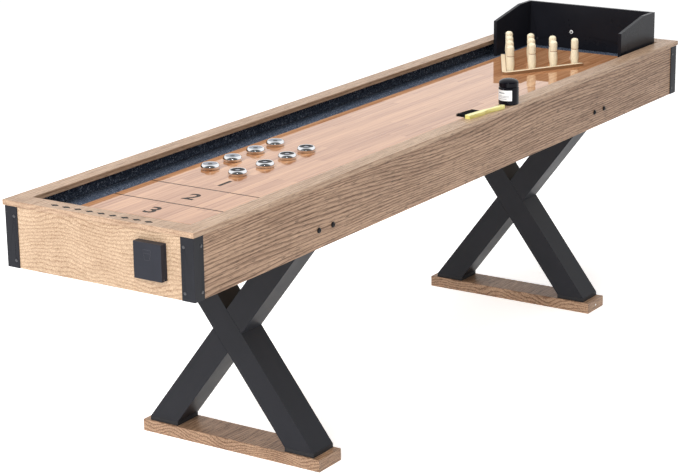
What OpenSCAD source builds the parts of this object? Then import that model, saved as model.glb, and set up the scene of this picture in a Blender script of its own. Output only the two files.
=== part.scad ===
// Nine-foot shuffleboard table on two X-shaped legs, with its backboard, pucks, bowling pins,
// pin frame, sweeping brush, wax bottle and a fold-down cup holder. Millimetres, +Z up.
// +X runs down the board from the players' end to the backboard. The origin is on the floor,
// at the middle of the whole part's outline.

/* [Cabinet] */
// Overall length of the top rails
table_len = 2743; // [2400:1:3000]
// Overall width of the top rails
table_w = 610; // [560:1:700]
// Height of the top rails above the floor
table_h = 805; // [780:1:850]
// Width of the long top rails
side_rail_w = 52; // [45:1:60]
// Width of the top rails at the ends
end_rail_w = 57; // [50:1:60]
// Thickness of the top rails
rail_t = 14; // [12:1:20]
// How far the rails stand out past the panels
rail_overhang = 6.5; // [5:0.5:10]
// Height of the side and end panels
panel_h = 165; // [150:1:180]
// Thickness of the side and end panels
panel_t = 15; // [12:1:18]
// Thickness of the carpet that lines the gutters
carpet_t = 3; // [2:0.5:4]

/* [Playfield] */
// Length of the playing surface
field_len = 2410; // [2200:1:2450]
// Width of the playing surface
field_w = 374; // [340:1:400]
// Thickness of the playing board
field_t = 16; // [12:1:20]
// Depth of the playing surface below the rail tops
field_drop = 39; // [36:1:45]
// Thickness of the panel under the playing board and the gutters
base_t = 16; // [12:1:18]

/* [Legs] */
// Distance of each leg's middle from the table's middle
leg_x = 793; // [700:1:900]
// Width of a leg beam, square to its length
beam_w = 76; // [70:1:85]
// Depth of a leg beam along the table
beam_d = 95; // [80:1:100]
// Wall thickness of the leg beams
beam_wall = 2; // [1.5:0.5:4]
// Rise of a leg beam for each unit that it runs across
beam_slope = 1.31; // [1.2:0.01:1.4]
// Length of a foot board across the table
foot_len = 602; // [560:1:610]
// Depth of a foot board along the table
foot_d = 107; // [100:1:115]
// Thickness of a foot board
foot_t = 34.5; // [30:0.5:40]
// Thickness of the pads that close both ends of the beams
pad_t = 12; // [10:1:14]
// Height of the tops of the leg frames above the panels' lower edges
leg_rise = 38; // [34:1:40]

/* [Backboard] */
// Height of the back panel's top above the floor
back_top = 907.5; // [890:0.5:930]
// Width over the outside of the two wings
back_w = 484; // [460:1:490]
// Thickness of the back panel and wings
back_t = 12; // [9:1:15]
// Length of a wing down the board, from its front edge to the back panel's rear face
wing_len = 255; // [220:1:280]
// How much lower a wing's front corner is than its top
wing_drop = 33; // [20:1:50]
// Length of the level part of a wing's top edge
wing_flat = 82; // [60:1:110]

/* [Cup holder] */
// Width of the folded cup holder
cup_w = 86; // [80:1:90]
// Height of the folded cup holder
cup_h = 95; // [90:1:100]
// Depth of the folded cup holder
cup_d = 22; // [22:1:24]
// Distance of the cup holder's middle to the side of the table's middle
cup_y = -173; // [-180:1:173]
// Height of the cup holder's lower edge above the floor
cup_z = 670; // [660:1:680]

/* [Game pieces] */
// Diameter of a puck
puck_dia = 53; // [50:1:58]
// Height of a puck
puck_h = 16; // [15:1:20]
// Height of a bowling pin
pin_h = 92; // [85:1:100]
// Greatest diameter of a bowling pin
pin_dia = 29; // [26:1:32]
// Distance between neighbouring pins
pin_pitch = 83; // [75:1:90]
// Height of the V-shaped frame that sets the pins out
pin_frame_h = 10; // [8:1:12]
// Width of the frame's two bars
pin_frame_w = 14; // [10:1:18]
// Diameter of the wax bottle
bottle_dia = 61; // [50:1:66]

/* [Hidden] */

wood = "burlywood";
plywood = "tan";
black = [0.13, 0.13, 0.15];
steel = [0.55, 0.56, 0.58];
$fn = 48;

// Cabinet, measured from the table's own middle
case_len = table_len - 2 * rail_overhang;
case_w = table_w - 2 * rail_overhang;
panel_top = table_h - rail_t;
panel_bottom = panel_top - panel_h;
inner_len = case_len - 2 * panel_t;
inner_w = case_w - 2 * panel_t;
field_top = table_h - field_drop;
base_top = field_top - field_t;
base_bottom = base_top - base_t;
gutter_floor = base_top + carpet_t;
// The cup holder stands out past the near rail, so the whole outline's middle is off the table's
table_x = (cup_d - rail_overhang) / 2;
bore_gap = 0.2;
// Hairline gap that keeps neighbouring pieces of one kind apart
seam = 0.2;

module on_table() {
    translate([table_x, 0, 0]) children();
}

// A box from its lowest corner to its highest
module slab(low, high) {
    translate(low) cube(high - low);
}

module both_sides() {
    children();
    mirror([0, 1, 0]) children();
}

module both_ends() {
    children();
    mirror([1, 0, 0]) children();
}

// --- Playing surface and the case that carries it ---

module playfield_board() {
    color(wood) on_table()
        slab([-field_len / 2, -field_w / 2, base_top], [field_len / 2, field_w / 2, field_top]);
}

module base_panel() {
    color(plywood) on_table()
        slab([-inner_len / 2, -inner_w / 2, base_bottom], [inner_len / 2, inner_w / 2, base_top]);
}

// Leg bolts pass through the side panels in pairs, level with the cleats behind them
bolt_z = panel_bottom + 49.5;
bolt_pitch = 66;
bolt_r = 4;
bolt_head_r = 7.5;
bolt_head_t = 4.5;
bolt_len = 38;

module at_leg_bolts() {
    for (x = [-leg_x, leg_x])
        for (dx = [-bolt_pitch / 2, bolt_pitch / 2])
            translate([x + dx, 0, bolt_z]) children();
}

// A hole or a shank that runs inwards from a side panel's outer face
module side_drill(r, depth, proud = 1) {
    translate([0, -case_w / 2 - proud, 0]) rotate([-90, 0, 0]) cylinder(r = r, h = depth + proud);
}

module side_panel() {
    difference() {
        slab([-case_len / 2, -case_w / 2, panel_bottom],
             [case_len / 2, -case_w / 2 + panel_t, panel_top]);
        at_leg_bolts() side_drill(bolt_r + bore_gap, panel_t + 1);
        both_ends() at_side_screws() side_drill(screw_r + bore_gap, screw_len);
    }
}

module side_panel_right() {
    color(wood) on_table() side_panel();
}

module side_panel_left() {
    color(wood) on_table() mirror([0, 1, 0]) side_panel();
}

module end_panel() {
    difference() {
        slab([-case_len / 2, -inner_w / 2, panel_bottom],
             [-case_len / 2 + panel_t, inner_w / 2, panel_top]);
        both_sides() at_end_screws() end_drill(screw_r + bore_gap, screw_len);
    }
}

module end_panel_near() {
    color(wood) on_table() difference() {
        end_panel();
        at_cup_screws() end_drill(screw_r + bore_gap, screw_len);
    }
}

module end_panel_far() {
    color(wood) on_table() mirror([1, 0, 0]) end_panel();
}

// Rails are mitred from the inner corner of the frame to the outer one
rail_in_x = table_len / 2 - end_rail_w;
rail_in_y = table_w / 2 - side_rail_w;

module side_rail() {
    translate([0, 0, panel_top]) linear_extrude(rail_t)
        polygon([[-table_len / 2, -table_w / 2], [table_len / 2, -table_w / 2],
                 [rail_in_x, -rail_in_y], [-rail_in_x, -rail_in_y]]);
}

module end_rail() {
    translate([0, 0, panel_top]) linear_extrude(rail_t)
        polygon([[-table_len / 2, -table_w / 2], [-rail_in_x, -rail_in_y],
                 [-rail_in_x, rail_in_y], [-table_len / 2, table_w / 2]]);
}

module rail_right() {
    color(wood) on_table() side_rail();
}

module rail_left() {
    color(wood) on_table() mirror([0, 1, 0]) side_rail();
}

module rail_near() {
    color(wood) on_table() end_rail();
}

module rail_far() {
    color(wood) on_table() mirror([1, 0, 0]) end_rail();
}

// --- Gutters ---

lined_x = inner_len / 2 - carpet_t;
lined_y = inner_w / 2 - carpet_t;

module wall_carpets() {
    color("dimgray") on_table() {
        both_sides() slab([-inner_len / 2, -inner_w / 2, gutter_floor],
                          [inner_len / 2, -lined_y, panel_top]);
        both_ends() slab([-inner_len / 2, -lined_y + seam, gutter_floor],
                         [-lined_x, lined_y - seam, panel_top]);
    }
}

module gutter_carpets() {
    color("slategray") on_table() {
        both_sides() slab([-inner_len / 2, -inner_w / 2, base_top],
                          [inner_len / 2, -field_w / 2, gutter_floor]);
        both_ends() slab([-inner_len / 2, -field_w / 2 + seam, base_top],
                         [-field_len / 2, field_w / 2 - seam, gutter_floor]);
    }
}

// --- Corner brackets and their screws ---

bracket_leg = 40;
bracket_t = 2.5;
screw_in = 30;
screw_r = 1.9;
screw_head_r = 4.2;
screw_head_t = 1.6;
screw_len = 13;
screw_heights = [panel_bottom + 20.5, panel_top - 27];

module at_side_screws() {
    for (z = screw_heights)
        translate([-case_len / 2 - bracket_t + screw_in, 0, z]) children();
}

module at_end_screws() {
    for (z = screw_heights)
        translate([0, -case_w / 2 - bracket_t + screw_in, z]) children();
}

// A hole or a shank that runs inwards from an end panel's outer face
module end_drill(r, depth, proud = 1) {
    translate([-case_len / 2 - proud, 0, 0]) rotate([0, 90, 0]) cylinder(r = r, h = depth + proud);
}

module corner_bracket() {
    outer_x = -case_len / 2 - bracket_t;
    outer_y = -case_w / 2 - bracket_t;
    difference() {
        slab([outer_x, outer_y, panel_bottom],
             [outer_x + bracket_leg, outer_y + bracket_leg, panel_top]);
        slab([-case_len / 2, -case_w / 2, panel_bottom - 1],
             [outer_x + bracket_leg + 1, outer_y + bracket_leg + 1, panel_top + 1]);
        at_side_screws() side_drill(screw_r + bore_gap, 1, bracket_t + 1);
        at_end_screws() end_drill(screw_r + bore_gap, 1, bracket_t + 1);
    }
}

module corner_brackets() {
    color(black) on_table() both_ends() both_sides() corner_bracket();
}

// A pan-head screw whose head sits on a surface at z = 0, with its shank going down
module screw(r, head_r, head_t, len) {
    rotate_extrude()
        polygon([[0, -len], [r * 0.4, -len], [r, -len + 2], [r, 0], [head_r, 0],
                 [head_r, head_t * 0.45], [head_r * 0.75, head_t], [0, head_t]]);
}

module wood_screw(under) {
    screw(screw_r, screw_head_r, screw_head_t, screw_len - 1 + under);
}

module panel_screws() {
    color(black) on_table() {
        both_ends() both_sides() {
            at_side_screws() translate([0, -case_w / 2 - bracket_t, 0])
                rotate([90, 0, 0]) wood_screw(bracket_t - 1);
            at_end_screws() translate([-case_len / 2 - bracket_t, 0, 0])
                rotate([0, -90, 0]) wood_screw(bracket_t - 1);
        }
        at_cup_screws() translate([-case_len / 2 - cup_back_t, 0, 0])
            rotate([0, -90, 0]) wood_screw(cup_back_t - 2);
        at_backboard_screws() back_screw(back_t + back_screw_bite);
        at_angle_screw() back_screw(back_t + angle_t + 2);
    }
}

// --- Supports under the base panel ---

brace_t = 18;
brace_h = 60;
brace_pitch = 400;
batten = 20;
cleat_len = foot_d;
cleat_t = 25;

module cross_braces() {
    color(plywood) on_table()
        for (x = [-brace_pitch, 0, brace_pitch])
            slab([x - brace_t / 2, -inner_w / 2 + batten, base_bottom - brace_h],
                 [x + brace_t / 2, inner_w / 2 - batten, base_bottom]);
}

// The long battens stop at the leg cleats
batten_spans = [
    [-inner_len / 2, -leg_x - cleat_len / 2],
    [-leg_x + cleat_len / 2, leg_x - cleat_len / 2],
    [leg_x + cleat_len / 2, inner_len / 2]
];

module support_battens() {
    color(plywood) on_table() {
        both_sides() for (span = batten_spans)
            slab([span[0], -inner_w / 2, base_bottom - batten],
                 [span[1], -inner_w / 2 + batten, base_bottom]);
        both_ends()
            slab([-inner_len / 2, -inner_w / 2 + batten + seam, base_bottom - batten],
                 [-inner_len / 2 + batten, inner_w / 2 - batten - seam, base_bottom]);
    }
}

// --- Leg mounting: a board on top of each leg frame, held between two bolted cleats ---

leg_top = panel_bottom + leg_rise;
mount_t = 18;

module leg_mount_boards() {
    color(plywood) on_table() at_legs() difference() {
        slab([-cleat_len / 2, -inner_w / 2 + cleat_t, leg_top],
             [cleat_len / 2, inner_w / 2 - cleat_t, leg_top + mount_t]);
        leg_screw_hole(leg_top - 1, mount_t + 2);
    }
}

module leg_cleats() {
    color(plywood) on_table() both_sides() difference() {
        for (x = [-leg_x, leg_x])
            slab([x - cleat_len / 2, -inner_w / 2, leg_top],
                 [x + cleat_len / 2, -inner_w / 2 + cleat_t, base_bottom]);
        at_leg_bolts() side_drill(bolt_r + bore_gap, panel_t + cleat_t + 1);
    }
}

// Button-head bolt with a six-sided socket, its head's underside at z = 0
module leg_bolt() {
    difference() {
        union() {
            translate([0, 0, -bolt_len]) cylinder(r = bolt_r, h = bolt_len + 1);
            rotate_extrude()
                polygon([[0, 0], [bolt_head_r, 0], [bolt_head_r, bolt_head_t * 0.4],
                         [bolt_head_r * 0.85, bolt_head_t * 0.8], [bolt_head_r * 0.6, bolt_head_t],
                         [0, bolt_head_t]]);
        }
        translate([0, 0, bolt_head_t - 2.5]) cylinder(r = 2.9, h = 4, $fn = 6);
    }
}

module leg_bolts() {
    color(black) on_table() both_sides() at_leg_bolts()
        translate([0, -case_w / 2, 0]) rotate([90, 0, 0]) leg_bolt();
}

// --- Legs: one long beam and two half beams make each X ---

beam_bottom = foot_t + pad_t;
beam_top = leg_top - pad_t;
leg_mid_z = (beam_top + beam_bottom) / 2;
leg_half_h = (beam_top - beam_bottom) / 2;
beam_run = leg_half_h / beam_slope;
beam_cut = beam_w * sqrt(1 + pow(beam_slope, 2)) / beam_slope;

// Outline of the long beam across the table: inset leaves room for the wall, and over is how
// far it runs on past the beam's ends
module beam_outline(inset, over) {
    half = (beam_w / 2 - inset) * beam_cut / beam_w;
    reach = leg_half_h + over;
    run = reach / beam_slope;
    polygon([[-run - half, -reach], [-run + half, -reach], [run + half, reach], [run - half, reach]]);
}

module beam(depth, inset, over) {
    translate([-depth / 2, 0, leg_mid_z])
        rotate([90, 0, 90]) linear_extrude(depth) beam_outline(inset, over);
}

module beam_tube() {
    difference() {
        beam(beam_d, 0, 0);
        beam(beam_d - 2 * beam_wall, beam_wall, 5);
    }
}

// The two half beams butt against the long beam's sides
module half_beams() {
    difference() {
        mirror([0, 1, 0]) beam_tube();
        beam(beam_d + 2, 0, 5);
    }
}

module near_leg_long_beam() {
    color(black) on_table() translate([-leg_x, 0, 0]) beam_tube();
}

module near_leg_half_beams() {
    color(black) on_table() translate([-leg_x, 0, 0]) half_beams();
}

module far_leg_long_beam() {
    color(black) on_table() translate([leg_x, 0, 0]) beam_tube();
}

module far_leg_half_beams() {
    color(black) on_table() translate([leg_x, 0, 0]) half_beams();
}

leg_screw_r = 3;
leg_screw_len = 27;
leg_screw_head_r = 6.5;
leg_screw_head_t = 3;
foot_sink_r = 7;
foot_sink = 14;

module at_leg_screws() {
    for (dx = [-beam_d / 4, beam_d / 4])
        for (y = [-beam_run, beam_run])
            translate([dx, y, 0]) children();
}

module at_legs() {
    for (x = [-leg_x, leg_x])
        translate([x, 0, 0]) children();
}

module leg_screw_hole(z, depth) {
    at_leg_screws() translate([0, 0, z]) cylinder(r = leg_screw_r + bore_gap, h = depth);
}

module leg_pad(z) {
    both_sides() slab([-beam_d / 2, -beam_run - beam_cut / 2, z],
                      [beam_d / 2, -beam_run + beam_cut / 2, z + pad_t]);
}

module leg_pads() {
    color(black) on_table() at_legs() difference() {
        union() {
            leg_pad(foot_t);
            leg_pad(beam_top);
        }
        leg_screw_hole(foot_t - 1, pad_t - 1);
        leg_screw_hole(beam_top + 2, pad_t);
    }
}

module foot_board() {
    difference() {
        slab([-foot_d / 2, -foot_len / 2, 0], [foot_d / 2, foot_len / 2, foot_t]);
        at_leg_screws() translate([0, 0, -1]) cylinder(r = foot_sink_r, h = foot_sink + 1);
        leg_screw_hole(foot_sink - 1, foot_t);
    }
}

module near_foot_board() {
    color(wood) on_table() translate([-leg_x, 0, 0]) foot_board();
}

module far_foot_board() {
    color(wood) on_table() translate([leg_x, 0, 0]) foot_board();
}

// Screws rise through the foot boards into the lower pads and drop through the mounting
// boards into the upper ones
module leg_screws() {
    color(steel) on_table() at_legs() at_leg_screws() {
        translate([0, 0, foot_sink]) mirror([0, 0, 1]) leg_screw();
        translate([0, 0, leg_top + mount_t]) leg_screw();
    }
}

module leg_screw() {
    screw(leg_screw_r, leg_screw_head_r, leg_screw_head_t, leg_screw_len);
}

// --- Backboard, standing in the far gutter against its cleat ---

back_face = rail_in_x - back_t;
wing_front = rail_in_x - wing_len;

module backboard_panel() {
    color(black) on_table() difference() {
        slab([back_face, -back_w / 2 + back_t, gutter_floor],
             [rail_in_x, back_w / 2 - back_t, back_top]);
        at_backboard_screws() back_drill(back_face - 1, back_t + 2);
        at_angle_screw() back_drill(back_face - 1, back_t + 2);
    }
}

module wing() {
    translate([0, -back_w / 2 + back_t, 0]) rotate([90, 0, 0]) linear_extrude(back_t)
        polygon([[wing_front, gutter_floor], [rail_in_x, gutter_floor], [rail_in_x, back_top],
                 [rail_in_x - wing_flat, back_top], [wing_front, back_top - wing_drop]]);
}

module backboard_wing_right() {
    color(black) on_table() wing();
}

module backboard_wing_left() {
    color(black) on_table() mirror([0, 1, 0]) wing();
}

// A block in the far gutter that ties the back panel to the far end panel
module backboard_cleat() {
    color(black) on_table() difference() {
        slab([rail_in_x, -back_w / 2 + back_t, gutter_floor],
             [lined_x, back_w / 2 - back_t, panel_top]);
        at_backboard_screws() back_drill(rail_in_x - 1, back_screw_bite + 2);
    }
}

// A steel angle behind the back panel, standing on the far rail
angle_y = 68.5;
angle_w = 40;
angle_leg = 28;
angle_t = 2;
angle_screw_z = table_h + 6.5;

module backboard_angle() {
    color(steel) on_table() difference() {
        slab([rail_in_x, angle_y - angle_w / 2, table_h],
             [rail_in_x + angle_leg, angle_y + angle_w / 2, table_h + angle_leg]);
        slab([rail_in_x + angle_t, angle_y - angle_w, table_h + angle_t],
             [rail_in_x + angle_leg + 1, angle_y + angle_w, table_h + angle_leg + 1]);
        at_angle_screw() back_drill(rail_in_x - 1, angle_t + 2);
    }
}

back_screw_in = 40;
back_screw_down = 14;
back_screw_bite = 14;

module at_backboard_screws() {
    for (y = [-back_w / 2 + back_screw_in, back_w / 2 - back_screw_in])
        translate([0, y, panel_top - back_screw_down]) children();
}

module at_angle_screw() {
    translate([0, angle_y, angle_screw_z]) children();
}

// A hole that runs towards the far end, from x
module back_drill(x, depth) {
    translate([x, 0, 0]) rotate([0, 90, 0]) cylinder(r = screw_r + bore_gap, h = depth);
}

module back_screw(len) {
    translate([back_face, 0, 0]) rotate([0, -90, 0]) screw(screw_r, screw_head_r, screw_head_t, len);
}

// --- Cup holder: folded flat against the near end panel ---

// Local frame: +X out from the end panel, +Z up from the lower edge, Y as the table's
module at_cup() {
    translate([-case_len / 2, cup_y, cup_z]) mirror([1, 0, 0]) children();
}

cup_wall = 3;
cup_back_t = 3;
house_d = 8;
fold_gap = 0.5;
door_in = house_d + fold_gap;
door_skin = 3.5;
door_band = 9;
hinge_in = door_in + 4;
hinge_z = 4;
hinge_r = 1.5;
lug_r = 3.5;
lug_w = 6;
lug_y = 28;
turn_gap = 0.05;
arm_pin_in = 7.5;
arm_pin_y = 35;
arm_eye_r = 3.5;
arm_low = 58;
arm_high = 72;
arm_reach = 30;
arm_gap = 0.3;
boss_h = 6;

module at_cup_screws() {
    for (dy = [-25, 25])
        translate([0, cup_y + dy, cup_z + 40]) children();
}

// A round bar or bore along Y, centred on the hinge line
module hinge_bar(r, len) {
    translate([hinge_in, len / 2, hinge_z]) rotate([90, 0, 0]) cylinder(r = r, h = len);
}

module at_lugs() {
    for (y = [-lug_y, lug_y])
        translate([0, y, 0]) children();
}

module arm_bosses() {
    both_sides() for (z = [arm_low - arm_gap - boss_h, arm_high + arm_gap])
        slab([cup_back_t - 1, arm_pin_y - 3.5, z], [arm_pin_in + 3.5, arm_pin_y + 3, z + boss_h]);
}

module cup_holder_housing() {
    color(black) on_table() difference() {
        union() {
            at_cup() difference() {
                slab([0, -cup_w / 2, 0], [house_d, cup_w / 2, cup_h]);
                slab([cup_back_t, -cup_w / 2 + cup_wall, cup_wall],
                     [house_d + 1, cup_w / 2 - cup_wall, cup_h - cup_wall]);
            }
            at_cup() at_lugs() {
                hinge_bar(lug_r, lug_w);
                slab([cup_back_t - 1, -lug_w / 2, hinge_z - lug_r],
                     [hinge_in, lug_w / 2, hinge_z + lug_r]);
            }
            at_cup() arm_bosses();
        }
        at_cup() hinge_bar(hinge_r, cup_w);
        at_cup() arm_pin_bars(hinge_r, 1);
        at_cup_screws() end_drill(screw_r + bore_gap, 1, cup_back_t + 1);
    }
}

// The door swings down to be the tray; its back edge is rounded about the hinge line
module cup_holder_door() {
    color(black) on_table() at_cup() difference() {
        union() {
            slab([door_in, -cup_w / 2, hinge_z], [cup_d, cup_w / 2, cup_h]);
            slab([hinge_in, -cup_w / 2, 0], [cup_d, cup_w / 2, hinge_z + 1]);
            hinge_bar(hinge_in - door_in, cup_w);
        }
        slab([door_in - 1, -cup_w / 2 + door_skin, door_band],
             [cup_d - door_skin, cup_w / 2 - door_skin, cup_h - door_skin]);
        at_lugs() slab([door_in - 1, -lug_w / 2 - 0.5, -1],
                       [hinge_in + lug_r + 0.5, lug_w / 2 + 0.5, door_band + 1]);
        hinge_bar(hinge_r + turn_gap, cup_w + 2);
    }
}

module arm_pin_bars(r, over) {
    both_sides() translate([arm_pin_in, arm_pin_y, arm_low - arm_gap - boss_h - over])
        cylinder(r = r, h = arm_high - arm_low + 2 * (arm_gap + boss_h + over));
}

module cup_holder_pins() {
    color(steel) on_table() at_cup() {
        hinge_bar(hinge_r, cup_w - 2);
        arm_pin_bars(hinge_r, 0);
    }
}

// An arm folded in towards the middle, on the side where Y is positive
module cup_arm() {
    difference() {
        translate([arm_pin_in, arm_pin_y, arm_low]) {
            cylinder(r = arm_eye_r, h = arm_high - arm_low);
            slab([-2, -arm_reach, 0], [2, 0, arm_high - arm_low]);
            translate([0, -arm_reach, 0]) cylinder(r = 3, h = arm_high - arm_low);
        }
        arm_pin_bars(hinge_r + turn_gap, 1);
    }
}

module cup_arm_left() {
    color(black) on_table() at_cup() cup_arm();
}

module cup_arm_right() {
    color(black) on_table() at_cup() mirror([0, 1, 0]) cup_arm();
}

// --- Bowling pins, set out against a V-shaped frame ---

rack_x = 785;
rack_y = 24;
row_step = pin_pitch * sqrt(3) / 2;
pin_ring = 0.6;
pin_neck_r = 11.8;
pin_base_r = 11;
pin_shoulder = 0.89;
frame_corner_r = 15;
frame_past_row = 2;
// The frame's inner edges stand clear of the pins' swelling sides
frame_in = pin_dia / 2 - 1;

// Middles of the ten pins, row by row from the head pin
PIN_SPOTS = [for (row = [0:3]) for (i = [0:row])
    [row * row_step, (i - row / 2) * pin_pitch]];

// The rack's wedge from the head pin to the given row, grown sideways by grow
module wedge(row, grow, corner_r) {
    offset(r = corner_r) offset(delta = grow - corner_r)
        polygon([[0, 0], [row * row_step, -row * pin_pitch / 2], [row * row_step, row * pin_pitch / 2]]);
}

// Two bars that meet in front of the head pin, open at the back so that the frame pulls away
module pin_frame() {
    back = 3 * row_step + frame_past_row;
    color(wood) on_table() translate([rack_x, rack_y, field_top]) linear_extrude(pin_frame_h)
        difference() {
            wedge(5, frame_in + pin_frame_w, frame_corner_r);
            wedge(7, frame_in, frame_corner_r - pin_frame_w + 2);
            translate([back, -table_w]) square([table_len, 2 * table_w]);
        }
}

// Half outline of a pin: a bulging body, a narrow ring and a straight head with a blunt top
PIN_OUTLINE = concat(
    [[0, 0], [pin_base_r - 1, 0]],
    [for (t = [0.02:0.14:1])
        [pin_base_r + (pin_neck_r - pin_base_r) * t + (pin_dia / 2 - pin_neck_r) * sin(180 * t),
         t * pin_ring * pin_h]],
    [[pin_neck_r, pin_ring * pin_h - 1], [pin_neck_r - 0.8, pin_ring * pin_h],
     [pin_neck_r - 0.8, pin_ring * pin_h + 1.5], [pin_neck_r + 0.3, pin_ring * pin_h + 2.5],
     [pin_neck_r + 0.5, pin_shoulder * pin_h]],
    [for (a = [20:17.5:90])
        [(pin_neck_r + 0.5) * cos(a), (pin_shoulder + (1 - pin_shoulder) * sin(a)) * pin_h]]
);

module bowling_pin(number) {
    color("wheat") on_table()
        translate([rack_x, rack_y, field_top] + concat(PIN_SPOTS[number - 1], 0))
            rotate_extrude() polygon(PIN_OUTLINE);
}

// --- Pucks: a steel weight with a plastic cap let into its top ---

// Middles of the pucks at rest, set down by hand in two loose rows
SILVER_SPOTS = [[-731, 123], [-627, 123], [-518, 122], [-419, 123]];
BLACK_SPOTS = [[-747, 18], [-637, 5], [-530, 5], [-435, 5]];
cap_r = 20;
cap_recess = 4;
silver_cap = "gainsboro";
black_cap = [0.1, 0.1, 0.1];

module puck(spots, number, cap_colour) {
    on_table() translate([spots[number - 1][0], spots[number - 1][1], field_top]) {
        color("silver") rotate_extrude()
            polygon([[0, 0], [puck_dia / 2 - 2, 0], [puck_dia / 2 - 0.6, 1.5], [puck_dia / 2 - 0.6, 4],
                     [puck_dia / 2, 6], [puck_dia / 2, puck_h - 4], [puck_dia / 2 - 1.5, puck_h - 1],
                     [puck_dia / 2 - 4, puck_h], [cap_r + bore_gap, puck_h - 1],
                     [cap_r + bore_gap, puck_h - cap_recess], [0, puck_h - cap_recess]]);
        color(cap_colour) rotate_extrude()
            polygon([[0, puck_h - cap_recess + seam], [cap_r, puck_h - cap_recess + seam],
                     [cap_r, puck_h - 2], [cap_r - 2, puck_h - 1.2], [0, puck_h - 0.8]]);
    }
}

// --- Brush, lying on its side along the right rail ---

brush_at = [-6, -279, 0];
brush_turn = -7;
brush_t = 11;
block_len = 92;
brush_len = 176;
block_d = 18;
bristle_len = 40;

module at_brush() {
    on_table() translate(brush_at + [0, 0, table_h]) rotate([0, 0, brush_turn]) children();
}

module brush_handle() {
    color("khaki") at_brush() linear_extrude(brush_t) offset(r = 3) offset(delta = -3)
        polygon([[0, 0], [block_len * 0.8, 0], [block_len, 4], [block_len + 20, 4],
                 [brush_len - 25, 0], [brush_len, 0], [brush_len, 14], [brush_len - 30, 15],
                 [block_len + 15, 14], [block_len - 5, block_d], [0, block_d]]);
}

module brush_bristles() {
    color(black) at_brush()
        slab([3, block_d, 1], [block_len - 10, block_d + bristle_len, brush_t - 1]);
}

// --- Wax bottle, standing on the right rail ---

bottle_at = [233, -276];
bottle_h = 78;
bottle_body_h = 54;
bottle_neck_r = 19;

module at_bottle() {
    on_table() translate([bottle_at[0], bottle_at[1], table_h]) children();
}

module wax_bottle() {
    r = bottle_dia / 2;
    color(black) at_bottle() rotate_extrude()
        polygon([[0, 0], [r - 2, 0], [r, 2], [r, bottle_body_h - 4], [r - 3, bottle_body_h],
                 [bottle_neck_r, bottle_body_h], [bottle_neck_r, bottle_h - 8], [0, bottle_h - 8]]);
}

module wax_bottle_cap() {
    r = bottle_dia / 2;
    dome = 12;
    color(black) at_bottle() rotate_extrude()
        polygon(concat(
            [[0, bottle_h - 8 + bore_gap], [bottle_neck_r + bore_gap, bottle_h - 8 + bore_gap],
             [bottle_neck_r + bore_gap, bottle_body_h + 1], [r - 1, bottle_body_h + 1],
             [r - 1, bottle_h - dome]],
            [for (a = [15:15:90]) [(r - 1) * cos(a), bottle_h - dome + dome * sin(a)]]
        ));
}

playfield_board();
base_panel();
side_panel_left();
side_panel_right();
end_panel_near();
end_panel_far();
rail_left();
rail_right();
rail_near();
rail_far();
wall_carpets();
gutter_carpets();
corner_brackets();
panel_screws();
cross_braces();
support_battens();
leg_mount_boards();
leg_cleats();
leg_bolts();
near_leg_long_beam();
near_leg_half_beams();
far_leg_long_beam();
far_leg_half_beams();
leg_pads();
near_foot_board();
far_foot_board();
leg_screws();
backboard_panel();
backboard_wing_left();
backboard_wing_right();
backboard_cleat();
backboard_angle();
cup_holder_housing();
cup_holder_door();
cup_holder_pins();
cup_arm_left();
cup_arm_right();
pin_frame();
bowling_pin(1);  // pin_1
bowling_pin(2);  // pin_2
bowling_pin(3);  // pin_3
bowling_pin(4);  // pin_4
bowling_pin(5);  // pin_5
bowling_pin(6);  // pin_6
bowling_pin(7);  // pin_7
bowling_pin(8);  // pin_8
bowling_pin(9);  // pin_9
bowling_pin(10);  // pin_10
puck(SILVER_SPOTS, 1, silver_cap);  // puck_silver_1
puck(SILVER_SPOTS, 2, silver_cap);  // puck_silver_2
puck(SILVER_SPOTS, 3, silver_cap);  // puck_silver_3
puck(SILVER_SPOTS, 4, silver_cap);  // puck_silver_4
puck(BLACK_SPOTS, 1, black_cap);  // puck_black_1
puck(BLACK_SPOTS, 2, black_cap);  // puck_black_2
puck(BLACK_SPOTS, 3, black_cap);  // puck_black_3
puck(BLACK_SPOTS, 4, black_cap);  // puck_black_4
brush_handle();
brush_bristles();
wax_bottle();
wax_bottle_cap();
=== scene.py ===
"""Shuffleboard table: materials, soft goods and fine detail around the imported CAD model.

Everything is in metres in the part's own frame: +X runs down the board to the backboard, +Z up.
"""

import math
import random

import bpy
from mathutils import Matrix, Vector, noise


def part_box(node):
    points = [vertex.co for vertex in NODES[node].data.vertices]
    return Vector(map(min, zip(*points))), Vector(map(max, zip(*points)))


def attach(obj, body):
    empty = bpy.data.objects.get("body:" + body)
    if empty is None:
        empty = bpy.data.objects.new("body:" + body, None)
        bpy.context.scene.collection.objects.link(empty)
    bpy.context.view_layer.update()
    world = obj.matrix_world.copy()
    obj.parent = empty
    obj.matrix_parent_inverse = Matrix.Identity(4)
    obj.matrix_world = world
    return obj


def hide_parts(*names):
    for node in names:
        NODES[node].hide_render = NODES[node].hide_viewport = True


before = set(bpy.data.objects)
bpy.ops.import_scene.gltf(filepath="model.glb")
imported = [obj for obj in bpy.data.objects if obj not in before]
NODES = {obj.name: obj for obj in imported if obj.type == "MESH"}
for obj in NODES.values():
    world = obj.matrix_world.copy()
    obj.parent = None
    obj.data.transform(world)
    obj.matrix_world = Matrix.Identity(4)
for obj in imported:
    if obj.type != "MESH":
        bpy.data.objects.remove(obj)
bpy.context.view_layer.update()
MM = 0.001


# --- Camera, off the table's near right-hand corner ---

CAMERA_AT = (-5.28325, -3.3298, 2.2345)
CAMERA_YAW = math.radians(33.6)
CAMERA_PITCH = math.radians(-16.31)
CAMERA_ROLL = math.radians(-0.81)
CAMERA_LENS = 113.7


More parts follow.
